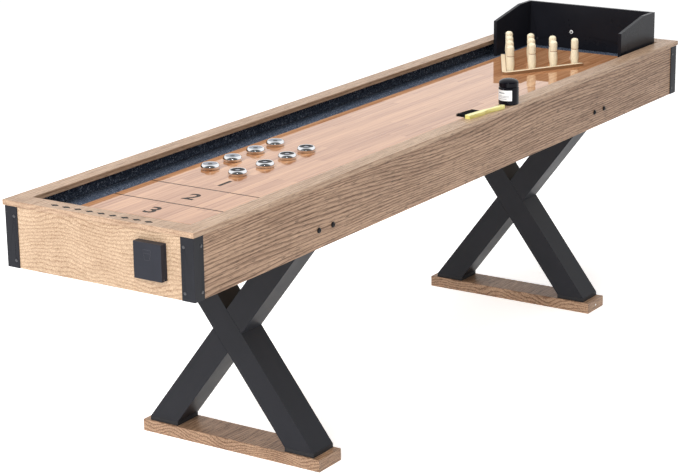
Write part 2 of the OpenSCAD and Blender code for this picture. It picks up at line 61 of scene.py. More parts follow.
def make_camera():
    data = bpy.data.cameras.new("camera")
    data.sensor_width = 36
    data.lens = CAMERA_LENS
    data.clip_start = 0.1
    data.clip_end = 200
    camera = bpy.data.objects.new("camera", data)
    bpy.context.scene.collection.objects.link(camera)
    level = math.cos(CAMERA_PITCH)
    forward = Vector((level * math.cos(CAMERA_YAW),
                      level * math.sin(CAMERA_YAW),
                      math.sin(CAMERA_PITCH)))
    right = forward.cross(Vector((0, 0, 1))).normalized()
    up = right.cross(forward)
    cos_roll = math.cos(CAMERA_ROLL)
    sin_roll = math.sin(CAMERA_ROLL)
    turned_right = right * cos_roll + up * sin_roll
    turned_up = up * cos_roll - right * sin_roll
    turn = Matrix((turned_right, turned_up, -forward)).transposed()
    camera.matrix_world = Matrix.Translation(CAMERA_AT) @ turn.to_4x4()
    bpy.context.scene.camera = camera


# --- Studio: pale floor, soft light ---

SKY_FILL = 0.26
SKY_SEEN = 1.1
DARK_SIDE = (-0.83, -0.55, 0.0)
DARK_SIDE_SEEN = 0.12
DARK_SIDE_START = 0.15
DARK_SIDE_FULL = 0.45
FLOOR_GLOW = 0.62
FLOOR_HALF = 40
FLOOR_GAP = 0.0004


def make_world():
    """A white sky: dimmer for diffuse light, and in mirrors it has a dark side behind the camera."""
    world = bpy.data.worlds.new("studio")
    bpy.context.scene.world = world
    world.use_nodes = True
    tree = world.node_tree
    background = tree.nodes["Background"]
    rays = tree.nodes.new("ShaderNodeLightPath")
    where = tree.nodes.new("ShaderNodeTexCoord")
    toward = tree.nodes.new("ShaderNodeVectorMath")
    toward.operation = "DOT_PRODUCT"
    toward.inputs[1].default_value = DARK_SIDE
    tree.links.new(where.outputs["Generated"], toward.inputs[0])
    mirrored = tree.nodes.new("ShaderNodeMapRange")
    mirrored.inputs["From Min"].default_value = DARK_SIDE_START
    mirrored.inputs["From Max"].default_value = DARK_SIDE_FULL
    mirrored.inputs["To Min"].default_value = SKY_SEEN
    mirrored.inputs["To Max"].default_value = DARK_SIDE_SEEN
    tree.links.new(toward.outputs["Value"], mirrored.inputs["Value"])
    seen = tree.nodes.new("ShaderNodeMapRange")
    seen.inputs["To Min"].default_value = SKY_SEEN
    tree.links.new(rays.outputs["Is Glossy Ray"], seen.inputs["Value"])
    tree.links.new(mirrored.outputs["Result"], seen.inputs["To Max"])
    strength = tree.nodes.new("ShaderNodeMapRange")
    strength.inputs["To Max"].default_value = SKY_FILL
    tree.links.new(seen.outputs["Result"], strength.inputs["To Min"])
    tree.links.new(rays.outputs["Is Diffuse Ray"], strength.inputs["Value"])
    tree.links.new(strength.outputs["Result"], background.inputs["Strength"])
    background.inputs["Color"].default_value = (1, 1, 1, 1)


def soft_box(name, at, aim, width, height, power, seen_in_gloss=False):
    """An area light at a place, turned to face aim, hidden from the camera."""
    data = bpy.data.lights.new(name, "AREA")
    data.shape = "RECTANGLE"
    data.size = width
    data.size_y = height
    data.energy = power
    light = bpy.data.objects.new(name, data)
    bpy.context.scene.collection.objects.link(light)
    light.location = at
    light.rotation_euler = (Vector(aim) - Vector(at)).to_track_quat("-Z", "Y").to_euler()
    light.visible_camera = False
    light.visible_glossy = seen_in_gloss


def make_studio():
    make_world()
    soft_box("key_light", (-6.5, -1.2, 3.6), (0, 0, 0.7), 4.5, 3.5, 420)
    soft_box("top_light", (0.3, 0.6, 5.0), (0, 0, 0.5), 6.0, 3.0, 160)
    soft_box("glint_light", (-6.2, -3.4, 4.4), (0, 0, 0.8), 1.1, 0.6, 20, seen_in_gloss=True)
    corners = [(-FLOOR_HALF, -FLOOR_HALF, 0), (FLOOR_HALF, -FLOOR_HALF, 0),
               (FLOOR_HALF, FLOOR_HALF, 0), (-FLOOR_HALF, FLOOR_HALF, 0)]
    floor = make_mesh("floor", corners, [(0, 1, 2, 3)], floor_paint())
    floor.location.z = -FLOOR_GAP
    view = bpy.context.scene.view_settings
    view.view_transform = "Standard"


# --- Node trees ---


class Tree:
    """A material's node tree, with short calls that add nodes and join them."""

    def __init__(self, name):
        self.material = bpy.data.materials.new(name)
        self.material.use_nodes = True
        self.links = self.material.node_tree.links
        self.nodes = self.material.node_tree.nodes
        self.surface = self.nodes["Principled BSDF"]

    def add(self, kind, inputs=(), **settings):
        node = self.nodes.new(kind)
        for key, value in settings.items():
            setattr(node, key, value)
        for key, value in dict(inputs).items():
            self.put(node.inputs[key], value)
        return node

    def put(self, socket, value):
        if isinstance(value, bpy.types.NodeSocket):
            self.links.new(value, socket)
        elif socket.type == "RGBA" and len(value) == 3:
            socket.default_value = (*value, 1)
        else:
            socket.default_value = value

    def set(self, **values):
        for key, value in values.items():
            self.put(self.surface.inputs[key.replace("_", " ").title().replace("Ior", "IOR")], value)

    def place(self, scale=(1, 1, 1), turn=(0, 0, 0), at=(0, 0, 0)):
        """The object's own coordinates in metres, moved, turned and scaled."""
        coords = self.add("ShaderNodeTexCoord")
        mapping = self.add("ShaderNodeMapping", {"Vector": coords.outputs["Object"], "Location": at,
                                                 "Rotation": turn, "Scale": scale})
        return mapping.outputs["Vector"]

    def noise(self, place, scale=1.0, detail=2.0, roughness=0.5, distortion=0.0):
        texture = self.add("ShaderNodeTexNoise", {"Vector": place, "Scale": scale, "Detail": detail,
                                                  "Roughness": roughness, "Distortion": distortion})
        return texture.outputs["Fac"]

    def math(self, operation, *values):
        node = self.add("ShaderNodeMath", operation=operation)
        for socket, value in zip(node.inputs, values):
            self.put(socket, value)
        return node.outputs[0]

    def span(self, value, low, high, to_low=0.0, to_high=1.0):
        node = self.add("ShaderNodeMapRange", {"Value": value, "From Min": low, "From Max": high,
                                               "To Min": to_low, "To Max": to_high})
        return node.outputs["Result"]

    def mix(self, factor, first, second, blend="MIX"):
        node = self.add("ShaderNodeMix", data_type="RGBA", blend_type=blend)
        self.put(node.inputs[0], factor)
        self.put(node.inputs[6], first)
        self.put(node.inputs[7], second)
        return node.outputs[2]

    def bump(self, height, depth, strength=1.0):
        """Adds a bump of that depth in metres over whatever bump is there."""
        node = self.add("ShaderNodeBump", {"Height": height, "Distance": depth, "Strength": strength})
        socket = self.surface.inputs["Normal"]
        if socket.is_linked:
            self.put(node.inputs["Normal"], socket.links[0].from_socket)
        self.put(socket, node.outputs["Normal"])


def floor_paint():
    tree = Tree("floor_paint")
    mottle = tree.noise(tree.place(), 3.0)
    tree.set(base_color=tree.mix(mottle, (0.90, 0.90, 0.90), (0.93, 0.93, 0.93)), roughness=0.9,
             emission_color=(1, 1, 1), emission_strength=FLOOR_GLOW)
    return tree.material


# --- Wood ---

ALONG = {"x": (0, 0, 0), "y": (0, 0, -math.pi / 2), "z": (0, math.pi / 2, 0)}


def wood(name, light, dark, along="x", rings=55, figure=4.0, at=(0, 0, 0), contrast=0.55, pores=0.5,
         roughness=0.42, coat=0.0):
    """Wood grain: bent growth rings, long fibres and short dark pores, running along one axis.

    rings is how many growth rings there are in a metre, and figure how far noise bends them.
    """
    tree = Tree(name)
    turn = ALONG[along]
    slow = tree.noise(tree.place((0.8, 6.0, 6.0), turn, at), 1.0, 1.0, 0.4)
    wobble = tree.noise(tree.place((5.0, 60.0, 60.0), turn, at), 1.0, 2.0, 0.5)
    parts = tree.add("ShaderNodeSeparateXYZ", {"Vector": tree.place((1, 1, 1), turn, at)})
    across = tree.math("ADD", parts.outputs["Y"], parts.outputs["Z"])
    field = tree.math("MULTIPLY_ADD", across, rings, tree.math("MULTIPLY", slow, figure * 3.2))
    field = tree.math("MULTIPLY_ADD", wobble, 0.9, field)
    ring = tree.math("FRACT", field)
    late = tree.math("MULTIPLY", tree.span(ring, 0.45, 0.9), tree.span(ring, 1.0, 0.9))
    fibre = tree.noise(tree.place((9.0, 330.0, 330.0), turn, at), 1.0, 3.0, 0.65)
    pore = tree.noise(tree.place((30.0, 620.0, 620.0), turn, at), 1.0, 1.0, 0.5)
    patch = tree.noise(tree.place((1.3, 9.0, 9.0), turn, at), 1.0, 1.0)
    grain = tree.math("MULTIPLY", late, contrast)
    grain = tree.math("MULTIPLY_ADD", tree.span(fibre, 0.35, 0.68), 0.6, grain)
    grain = tree.math("MULTIPLY_ADD", tree.span(patch, 0.3, 0.7, -0.5, 0.5), 0.28, grain)
    colour = tree.mix(tree.span(grain, -0.05, 0.95), light, dark)
    speck = tree.math("MULTIPLY", tree.span(pore, 0.56, 0.68), pores)
    colour = tree.mix(speck, colour, tuple(0.45 * c for c in dark))
    tree.set(base_color=colour, roughness=tree.span(fibre, 0.3, 0.7, roughness - 0.06, roughness + 0.08),
             specular_ior_level=0.25, coat_weight=coat, coat_roughness=0.12)
    tree.bump(tree.math("SUBTRACT", fibre, tree.math("MULTIPLY", speck, 1.2)), 0.12 * MM, 0.5)
    return tree.material


OAK_LIGHT = (0.61, 0.445, 0.305)
OAK_DARK = (0.25, 0.145, 0.08)
# The same oak made darker for the side panels and foot boards: painted shade, since those faces stand in
# less light.
OAK_SHADED_LIGHT = (0.50, 0.325, 0.21)
OAK_SHADED_DARK = (0.12, 0.058, 0.030)
OAK_RAIL_LIGHT = (0.54, 0.375, 0.255)
OAK_RAIL_DARK = (0.22, 0.125, 0.072)


def oak(name, along, at, light=OAK_LIGHT, dark=OAK_DARK, **settings):
    return wood(name, light, dark, along, at=at, **settings)


STRIP_LEN = 0.36
STRIP_W = 0.0250


def playing_surface():
    """Strips of hardwood glued edge to edge under a mirror-gloss lacquer."""
    tree = Tree("playing_surface")
    parts = tree.add("ShaderNodeSeparateXYZ", {"Vector": tree.place()})
    flat = tree.add("ShaderNodeCombineXYZ", {"X": parts.outputs["X"], "Y": parts.outputs["Y"]})
    strips = tree.add("ShaderNodeTexBrick", {"Vector": flat.outputs["Vector"], "Scale": 1.0,
                                             "Mortar Size": 0.12 * MM, "Mortar Smooth": 0.4,
                                             "Brick Width": STRIP_LEN, "Row Height": STRIP_W,
                                             "Color1": (0, 0, 0), "Color2": (1, 1, 1),
                                             "Mortar": (0.2, 0.2, 0.2)},
                      offset=0.37, offset_frequency=2, squash=1.0)
    tone = tree.math("MULTIPLY", strips.outputs["Color"], 0.9)
    shift = tree.add("ShaderNodeCombineXYZ", {"X": tree.math("MULTIPLY", tone, 7.0),
                                              "Y": tree.math("MULTIPLY", tone, 3.0)})
    moved = tree.add("ShaderNodeVectorMath", {0: tree.place((3.0, 130.0, 130.0)),
                                              1: shift.outputs["Vector"]})
    fibre = tree.noise(moved.outputs["Vector"], 1.0, 3.0, 0.6)
    fine = tree.noise(tree.place((9.0, 700.0, 700.0)), 1.0, 2.0, 0.6)
    strip_shade = tree.math("MULTIPLY", tone, 0.42)
    grain = tree.math("MULTIPLY_ADD", tree.span(fibre, 0.3, 0.72), 0.55, strip_shade)
    grain = tree.math("MULTIPLY_ADD", tree.span(fine, 0.35, 0.7), 0.18, grain)
    colour = tree.mix(grain, (0.66, 0.355, 0.185), (0.27, 0.10, 0.036))
    colour = tree.mix(tree.math("MULTIPLY", strips.outputs["Fac"], 0.55), colour, (0.16, 0.08, 0.04))
    tree.set(base_color=colour, roughness=0.5, specular_ior_level=0.0, coat_weight=1.0,
             coat_roughness=0.015, coat_ior=1.6)
    return tree.material


# --- Other materials ---


def satin(name, colour=(0.014, 0.0145, 0.018), roughness=0.42, grain=900.0, depth=0.05, metal=0.0,
          shine=0.14):
    """An even satin finish with faint handling marks, for powder coat, laminate, plastic or dull steel.

    It is near black unless it is given a colour. depth is the height of its grain in millimetres.
    """
    tree = Tree(name)
    pimples = tree.noise(tree.place(), grain, 2.0, 0.6)
    marks = tree.noise(tree.place((6, 6, 6)), 1.0, 4.0, 0.6)
    colour_out = tree.mix(tree.span(marks, 0.35, 0.7), colour, tuple(1.35 * c for c in colour))
    tree.set(base_color=colour_out, metallic=metal, specular_ior_level=shine,
             roughness=tree.span(marks, 0.3, 0.7, roughness - 0.05, roughness + 0.07))
    tree.bump(pimples, depth * MM, 0.6)
    return tree.material


def chrome():
    tree = Tree("chrome")
    smudge = tree.noise(tree.place((60, 60, 60)), 1.0, 3.0, 0.6)
    tree.set(base_color=(0.83, 0.84, 0.86), metallic=1.0,
             roughness=tree.span(smudge, 0.35, 0.75, 0.05, 0.13))
    return tree.material


def zinc():
    tree = Tree("zinc_plate")
    spangle = tree.noise(tree.place((260, 260, 260)), 1.0, 2.0)
    tree.set(base_color=tree.mix(spangle, (0.5, 0.51, 0.53), (0.68, 0.69, 0.7)), metallic=1.0,
             roughness=tree.span(spangle, 0.3, 0.7, 0.28, 0.42))
    return tree.material


def silver_plastic():
    tree = Tree("silver_cap_plastic")
    flake = tree.noise(tree.place((2500, 2500, 2500)), 1.0, 1.0)
    tree.set(base_color=tree.mix(flake, (0.20, 0.215, 0.25), (0.36, 0.38, 0.43)), metallic=0.6,
             roughness=tree.span(flake, 0.3, 0.7, 0.30, 0.42))
    return tree.material


def carpet_felt():
    """Needle felt: matted fibres in dark blue-greys with pale flecks."""
    tree = Tree("carpet_felt")
    matted = tree.noise(tree.place((1, 1, 1)), 330.0, 3.0, 0.8)
    clumps = tree.noise(tree.place((1, 1, 1)), 120.0, 2.0, 0.7)
    flecks = tree.noise(tree.place((1, 1, 1)), 190.0, 2.0, 0.8)
    colour = tree.mix(tree.span(matted, 0.36, 0.64), (0.004, 0.006, 0.012), (0.085, 0.110, 0.160))
    colour = tree.mix(tree.span(clumps, 0.52, 0.70, 0.0, 0.55), colour, (0.10, 0.13, 0.18))
    colour = tree.mix(tree.span(flecks, 0.57, 0.66, 0.0, 0.75), colour, (0.42, 0.47, 0.56))
    tree.set(base_color=colour, roughness=0.95, specular_ior_level=0.1)
    tree.bump(matted, 0.8 * MM, 0.8)
    return tree.material


def turned_beech():
    return wood("turned_beech", (0.92, 0.84, 0.64), (0.80, 0.68, 0.46), "z", rings=160, figure=2.0,
                contrast=0.2, pores=0.1, roughness=0.5)


def frame_wood():
    """Pale on its top faces and brown on its sawn sides, as a faced board is when cut into bars; the
    sides' dark brown also holds painted shade, set by which way each face points.
    """
    tree = Tree("pin_frame_wood")
    geometry = tree.add("ShaderNodeNewGeometry")
    parts = tree.add("ShaderNodeSeparateXYZ", {"Vector": geometry.outputs["Normal"]})
    fibre = tree.noise(tree.place((9.0, 330.0, 330.0)), 1.0, 3.0, 0.65)
    face = tree.mix(fibre, (0.90, 0.76, 0.55), (0.74, 0.57, 0.37))
    side = tree.mix(fibre, (0.34, 0.18, 0.085), (0.22, 0.105, 0.045))
    # Faces that do not point up get the dark brown: partly the sawn edge's own colour, partly painted
    # shade.
    tree.set(base_color=tree.mix(tree.span(parts.outputs["Z"], 0.4, 0.8), side, face), roughness=0.45)
    tree.bump(fibre, 0.08 * MM, 0.5)
    return tree.material


def printed_ink():
    tree = Tree("printed_ink")
    worn = tree.noise(tree.place((300, 300, 300)), 1.0, 3.0, 0.6)
    tree.set(base_color=tree.mix(tree.span(worn, 0.4, 0.8), (0.012, 0.008, 0.006), (0.030, 0.019, 0.014)),
             roughness=0.6, specular_ior_level=0.0, coat_weight=0.3, coat_roughness=0.03, coat_ior=1.45)
    return tree.material


def bristle_hair():
    tree = Tree("bristle_hair")
    shade = tree.noise(tree.place((500, 20, 500)), 1.0, 2.0)
    tree.set(base_color=tree.mix(shade, (0.002, 0.002, 0.002), (0.009, 0.009, 0.010)), roughness=0.5,
             specular_ior_level=0.15)
    return tree.material


def label_paper():
    tree = Tree("label_paper")
    fibres = tree.noise(tree.place((900, 900, 900)), 1.0, 2.0)
    tree.set(base_color=tree.mix(fibres, (0.80, 0.80, 0.79), (0.88, 0.88, 0.87)), roughness=0.35)
    return tree.material


def pin_paint():
    tree = Tree("pin_ring_paint")
    worn = tree.noise(tree.place((400, 400, 400)), 1.0, 2.0)
    tree.set(base_color=tree.mix(worn, (0.16, 0.045, 0.02), (0.30, 0.09, 0.04)), roughness=0.45)
    return tree.material


def white_plastic():
    tree = Tree("white_plastic")
    cloud = tree.noise(tree.place((90, 90, 90)), 1.0, 2.0)
    tree.set(base_color=tree.mix(cloud, (0.78, 0.78, 0.76), (0.86, 0.86, 0.85)), roughness=0.32)
    return tree.material


# --- Mesh making ---


def make_mesh(name, points, faces, material, smooth_angle=None):
    mesh = bpy.data.meshes.new(name)
    mesh.from_pydata([tuple(p) for p in points], [], faces)
    mesh.validate()
    mesh.materials.append(material)
    piece = bpy.data.objects.new(name, mesh)
    bpy.context.scene.collection.objects.link(piece)
    if smooth_angle is not None:
        mesh.shade_smooth()
        mesh.set_sharp_from_angle(angle=math.radians(smooth_angle))
    return piece


def lathe(name, outline, centre, material, segments=72, smooth_angle=38):
    """Turns an outline of (radius, height) points about +Z.

    The outline runs from the axis round to the axis, or for a ring it ends where it began.
    """
    points = []
    faces = []
    rings = []
    for radius, height in outline:
        if radius < 1e-7:
            rings.append([len(points)])
            points.append((0, 0, height))
            continue
        rings.append(list(range(len(points), len(points) + segments)))
        for i in range(segments):
            angle = 2 * math.pi * i / segments
            points.append((radius * math.cos(angle), radius * math.sin(angle), height))
    for lower, upper in zip(rings, rings[1:]):
        for i in range(segments):
            j = (i + 1) % segments
            if len(lower) == 1:
                faces.append((lower[0], upper[j], upper[i]))
            elif len(upper) == 1:
                faces.append((lower[i], lower[j], upper[0]))
            else:
                faces.append((lower[i], lower[j], upper[j], upper[i]))
    centre = Vector(centre)
    return make_mesh(name, [centre + Vector(p) for p in points], faces, material, smooth_angle)


def soften(piece, width, segments=3):
    """Rounds the sharp edges with a bevel of that width."""
    weld = piece.modifiers.new("weld", "WELD")
    weld.merge_threshold = 0.01 * MM
    bevel = piece.modifiers.new("bevel", "BEVEL")
    bevel.width = width
    bevel.segments = segments
    bevel.limit_method = "ANGLE"
    bevel.angle_limit = math.radians(35)
    bevel.use_clamp_overlap = True


def outline_plate(name, outline, low, high, material):
    """A flat plate with that (x, y) outline, from height low to height high."""
    count = len(outline)
    points = [(x, y, low) for x, y in outline] + [(x, y, high) for x, y in outline]
    faces = [tuple(reversed(range(count))), tuple(range(count, 2 * count))]
    for i in range(count):
        j = (i + 1) % count
        faces.append((i, j, count + j, count + i))
    return make_mesh(name, points, faces, material)


# --- CAD nodes that stay: material and softened edges ---

EDGE_ROUND = 0.7 * MM


def paint(names, material, round_by=EDGE_ROUND):
    """Gives CAD nodes their material and takes the sharpness off their edges."""
    for name in names:
        node = NODES[name]
        for slot in node.material_slots:
            slot.material = material
        if round_by:
            soften(node, round_by)


def paint_wood():
    # The side panels and foot boards take the darker oak below: painted shade for faces that get less
    # light.
    side = {"light": OAK_SHADED_LIGHT, "dark": OAK_SHADED_DARK, "rings": 108, "figure": 4.4,
            "contrast": 0.6, "pores": 0.8}
    end = {"rings": 96, "figure": 2.6, "contrast": 0.42, "pores": 0.8}
    rail = {"light": OAK_RAIL_LIGHT, "dark": OAK_RAIL_DARK, "rings": 90, "figure": 2.0,
            "contrast": 0.42, "pores": 0.7, "coat": 0.1}
    paint(["side_panel_right"], oak("oak_right", "x", (0, 0, 0), **side))
    paint(["side_panel_left"], oak("oak_left", "x", (3.1, 0.4, 1.7), **side))
    paint(["end_panel_near"], oak("oak_near", "y", (1.3, 2.2, 0.3), **end))
    paint(["end_panel_far"], oak("oak_far", "y", (5.3, 0.2, 2.3), **end))
    paint(["rail_right", "rail_left"], oak("oak_rail_long", "x", (7.7, 1.1, 0.6), **rail))
    paint(["rail_near", "rail_far"], oak("oak_rail_end", "y", (2.4, 5.1, 1.9), **rail))
    paint(["near_foot_board", "far_foot_board"], oak("oak_foot", "y", (9.3, 3.3, 4.1), **side))
    plywood = wood("plywood", (0.66, 0.50, 0.33), (0.47, 0.33, 0.20), "x", rings=18, figure=3.0,
                   contrast=0.3, pores=0.1, roughness=0.6)
    paint(["base_panel", "cross_braces", "support_battens", "leg_mount_boards", "leg_cleats"], plywood)
    paint(["playfield_board"], playing_surface())
    paint(["pin_frame"], frame_wood(), 1.0 * MM)


def paint_steel():
    powder_coat = satin("black_powder_coat", grain=700.0, depth=0.06)
    paint(["near_leg_long_beam", "near_leg_half_beams"], powder_coat, 1.2 * MM)
    paint(["far_leg_long_beam", "far_leg_half_beams"], powder_coat, 1.2 * MM)
    paint(["corner_brackets"], powder_coat, 0.5 * MM)
    paint(["leg_bolts"], satin("black_oxide", (0.008, 0.008, 0.009), 0.3, 2500.0, 0.01), 0)
    dulled = satin("dulled_steel", (0.085, 0.085, 0.09), 0.34, 2500.0, 0.01, metal=0.8)
    paint(["panel_screws"], dulled, 0)
    paint(["leg_screws", "backboard_angle", "cup_holder_pins"], zinc(), 0)


def paint_plastic():
    paint(["leg_pads"], satin("black_nylon", (0.022, 0.022, 0.024), 0.5))
    laminate = satin("black_laminate", (0.010, 0.0105, 0.014), 0.3, 260.0, 0.02)
    paint(["backboard_panel", "backboard_wing_left", "backboard_wing_right", "backboard_cleat"], laminate)
    moulded = satin("cup_holder_plastic", (0.017, 0.018, 0.024), 0.33, 1100.0, 0.02)
    paint(["cup_holder_housing", "cup_holder_door", "cup_arm_left", "cup_arm_right"], moulded)
    bottle = satin("bottle_plastic", (0.003, 0.003, 0.005), 0.10, 90.0, 0.01, shine=0.14)
    paint(["wax_bottle", "wax_bottle_cap"], bottle, 0)


# --- Printed lines and numerals on the playing surface ---

INK_LIFT = 0.08 * MM
INK_DEPTH = 0.10 * MM
LINE_W = 5.0 * MM
LINE_INSET = 1.0 * MM
SCORE_LINES = {"line_3_2": 0.1345, "line_2_1": 0.2935}
NUMERALS = {"3": (0.0575, -0.002), "2": (0.211, -0.013), "1": (0.364, -0.005)}
NUMERAL_SIZE = 0.078
NUMERAL_WEIGHT = 1.6 * MM


def ink_printing():
    """Lines across the board and numerals, placed from the near edge of the playing board."""
    low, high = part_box("playfield_board")
    ink = printed_ink()
    top = high.z + INK_LIFT
    right = low.y + LINE_INSET
    left = high.y - LINE_INSET
    for name, from_edge in SCORE_LINES.items():
        x = low.x + from_edge
        shape = [(x, right), (x + LINE_W, right), (x + LINE_W, left), (x, left)]
        line = outline_plate(name, shape, top - INK_DEPTH, top, ink)
        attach(line, "table")
    for numeral, (x, y) in NUMERALS.items():
        text = bpy.data.curves.new("numeral_" + numeral, "FONT")
        text.body = numeral
        text.size = NUMERAL_SIZE
        text.align_x = "CENTER"
        text.align_y = "CENTER"
        text.extrude = INK_DEPTH / 2
        text.offset = NUMERAL_WEIGHT
        text.materials.append(ink)
        piece = bpy.data.objects.new("numeral_" + numeral, text)
        bpy.context.scene.collection.objects.link(piece)
        piece.location = (low.x + x, y, top - INK_DEPTH / 2)
        piece.rotation_euler = (0, 0, -math.pi / 2)
        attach(piece, "table")


DIAMONDS = 9
DIAMOND_LEN = 28 * MM
DIAMOND_W = 17 * MM
DIAMOND_ROW = 0.30
DIAMOND_INSET = 0.0245


def rail_inlays():
    """A plain row of small dark diamonds let into the near rail."""
    low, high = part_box("rail_near")
    ink = printed_ink()
    x = low.x + DIAMOND_INSET
    half_len = DIAMOND_LEN / 2
    half_w = DIAMOND_W / 2
    bottom = high.z - INK_DEPTH
    top = high.z + INK_LIFT / 2
    for i in range(DIAMONDS):
        y = (i / (DIAMONDS - 1) - 0.5) * DIAMOND_ROW
        shape = [(x - half_w, y), (x, y - half_len), (x + half_w, y), (x, y + half_len)]
        inlay = outline_plate(f"rail_inlay_{i + 1}", shape, bottom, top, ink)
        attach(inlay, "table")


# --- Carpet in the gutters ---

CARPET_CELL = 3.5 * MM
CARPET_LUMP = 0.35 * MM
CARPET_EDGE = 6.0 * MM


def carpet_strip(name, corner, along, across, up, length, width, depth, material):
    """A felt strip: its face is lumpy and rolls down at its edges, and its back is flat.

    It starts at corner, runs that length along and that width across, and is that deep along up.
    """
    corner, along, across, up = Vector(corner), Vector(along), Vector(across), Vector(up)
    cells_long = max(2, round(length / CARPET_CELL))
    cells_wide = max(4, round(width / CARPET_CELL))
    points = []
    faces = []
    for i in range(cells_long + 1):
        for j in range(cells_wide + 1):
            run = length * i / cells_long
            side = width * j / cells_wide
            inset = min(side, width - side, run, length - run)
            roll = max(0.0, 1 - inset / CARPET_EDGE)
            spot = corner + along * run + across * side
            lump = CARPET_LUMP * (noise.noise(spot * 160) + 0.6 * noise.noise(spot * 420) - 0.6)
            height = depth * (1 - 0.35 * roll * roll) + lump * (1 - roll)
            points.append(spot + up * height)
    face_count = len(points)
    points += [corner, corner + along * length, corner + along * length + across * width,
               corner + across * width]
    row = cells_wide + 1
    for i in range(cells_long):
        for j in range(cells_wide):
            a = i * row + j
            faces.append((a, a + 1, a + row + 1, a + row))
    last = cells_long * row
    faces.append([face_count, face_count + 3] + list(range(cells_wide, -1, -1)))
    faces.append([face_count + 2, face_count + 1] + list(range(last, last + row)))
    faces.append([face_count + 1, face_count] + [i * row for i in range(cells_long + 1)])
    faces.append([face_count + 3, face_count + 2] + [i * row + cells_wide
                                                    for i in range(cells_long, -1, -1)])
    faces.append([face_count, face_count + 1, face_count + 2, face_count + 3])
    if along.cross(across).dot(up) > 0:
        faces = [list(reversed(face)) for face in faces]
    strip = make_mesh(name, points, faces, material, 60)
    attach(strip, "table")
    return strip


def gutter_carpets():
    felt = carpet_felt()
    floor_low, floor_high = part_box("gutter_carpets")
    wall_low, wall_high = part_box("wall_carpets")
    board_low, board_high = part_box("playfield_board")
    thick = floor_high.z - floor_low.z
    length = floor_high.x - floor_low.x
    side_w = board_low.y - floor_low.y
    end_w = board_low.x - floor_low.x
    wall_h = wall_high.z - wall_low.z
    made = {"floor": [], "wall": []}
    for side, y, outward in (("right", floor_low.y, 1), ("left", floor_high.y, -1)):
        strip = carpet_strip(f"gutter_felt_{side}", (floor_low.x, y, floor_low.z), (1, 0, 0),
                             (0, outward, 0), (0, 0, 1), length, side_w, thick, felt)
        made["floor"].append(strip)
        strip = carpet_strip(f"wall_felt_{side}", (wall_low.x, y, wall_low.z), (1, 0, 0), (0, 0, 1),
                             (0, outward, 0), length, wall_h, thick, felt)
        made["wall"].append(strip)
    board_w = board_high.y - board_low.y
    wall_len = wall_high.y - wall_low.y - 2 * thick
    for end, x, outward in (("near", floor_low.x, 1), ("far", floor_high.x, -1)):
        strip = carpet_strip(f"gutter_felt_{end}", (x, board_low.y, floor_low.z), (0, 1, 0),
                             (outward, 0, 0), (0, 0, 1), board_w, end_w, thick, felt)
        made["floor"].append(strip)
        strip = carpet_strip(f"wall_felt_{end}", (x, wall_low.y + thick, wall_low.z), (0, 1, 0),
                             (0, 0, 1), (outward, 0, 0), wall_len, wall_h, thick, felt)
        made["wall"].append(strip)
    for strip in made["floor"]:
        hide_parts("gutter_carpets")
    for strip in made["wall"]:
        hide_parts("wall_carpets")


# --- Pucks ---

CAP_R = 20 * MM
# A puck rides on grains of wax, which keep it just clear of the printed ink.
PUCK_RIDE = 0.12 * MM


def puck_outline(r, h):
    """Half outline of the steel weight, from its underside round to the bottom of its recess."""
    return [(0, PUCK_RIDE), (r - 3 * MM, PUCK_RIDE), (r - 2.2 * MM, 0.4 * MM),
            (r - 1.7 * MM, 1.2 * MM), (r - 1.2 * MM, 2.4 * MM), (r - 0.5 * MM, 4.0 * MM),
            (r - 0.1 * MM, 5.6 * MM), (r, 7.0 * MM), (r - 0.2 * MM, 8.4 * MM),
            (r - 0.6 * MM, 9.8 * MM), (r - 1.2 * MM, h - 4.9 * MM), (r - 2.0 * MM, h - 3.6 * MM),
            (r - 2.9 * MM, h - 2.4 * MM), (r - 3.8 * MM, h - 1.3 * MM), (r - 4.7 * MM, h - 0.5 * MM),
            (r - 5.3 * MM, h - 0.4 * MM),
            (CAP_R + 0.3 * MM, h - 1.2 * MM), (CAP_R + 0.3 * MM, h - 4 * MM), (0, h - 4 * MM)]


def cap_outline(h):
    """Half outline of the plastic cap: a raised ring round a shallow dish with a low boss."""
    base = h - 3.9 * MM
    return [(0, base), (CAP_R, base), (CAP_R, h - 2.2 * MM), (CAP_R - 0.6 * MM, h - 1.5 * MM),
            (CAP_R - 2.4 * MM, h - 1.4 * MM), (CAP_R - 3.4 * MM, h - 2.0 * MM),
            (CAP_R - 5.0 * MM, h - 2.9 * MM), (9.5 * MM, h - 3.1 * MM), (8.6 * MM, h - 2.2 * MM),
            (7.6 * MM, h - 1.9 * MM), (0, h - 1.8 * MM)]


def boss_outline(h):
    """Half outline of the small disc in the middle of a cap."""
    base = h - 1.9 * MM
    return [(0, base), (6.6 * MM, base), (6.4 * MM, h - 1.5 * MM), (0, h - 1.4 * MM)]


def make_pucks():
    """Chrome weights with plastic caps. The disc in each cap's middle has the other kind's colour."""
    weight = chrome()
    caps = {"silver": silver_plastic(),
            "black": satin("black_cap_plastic", (0.005, 0.005, 0.006), 0.3, 1500.0, 0.01)}
    bosses = {"silver": caps["black"], "black": caps["silver"]}
    for kind, cap_material in caps.items():
        for number in range(1, 5):
            node = f"puck_{kind}_{number}"
            low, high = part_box(node)
            centre = ((low.x + high.x) / 2, (low.y + high.y) / 2, low.z)
            r = (high.x - low.x) / 2
            h = high.z - low.z
            body = lathe(f"{node}_weight", puck_outline(r, h), centre, weight, 96)
            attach(body, node)
            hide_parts(node)
            cap = lathe(f"{node}_cap", cap_outline(h), centre, cap_material, 96)
            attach(cap, node)
            boss = lathe(f"{node}_boss", boss_outline(h), centre, bosses[kind], 48)
            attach(boss, node)


# --- Bowling pins ---

PIN_GROOVE = 0.6
PIN_SHOULDER = 0.89
PIN_GROOVE_R = 11.0 * MM
BODY_STEPS = 12
DOME_STEPS = 8


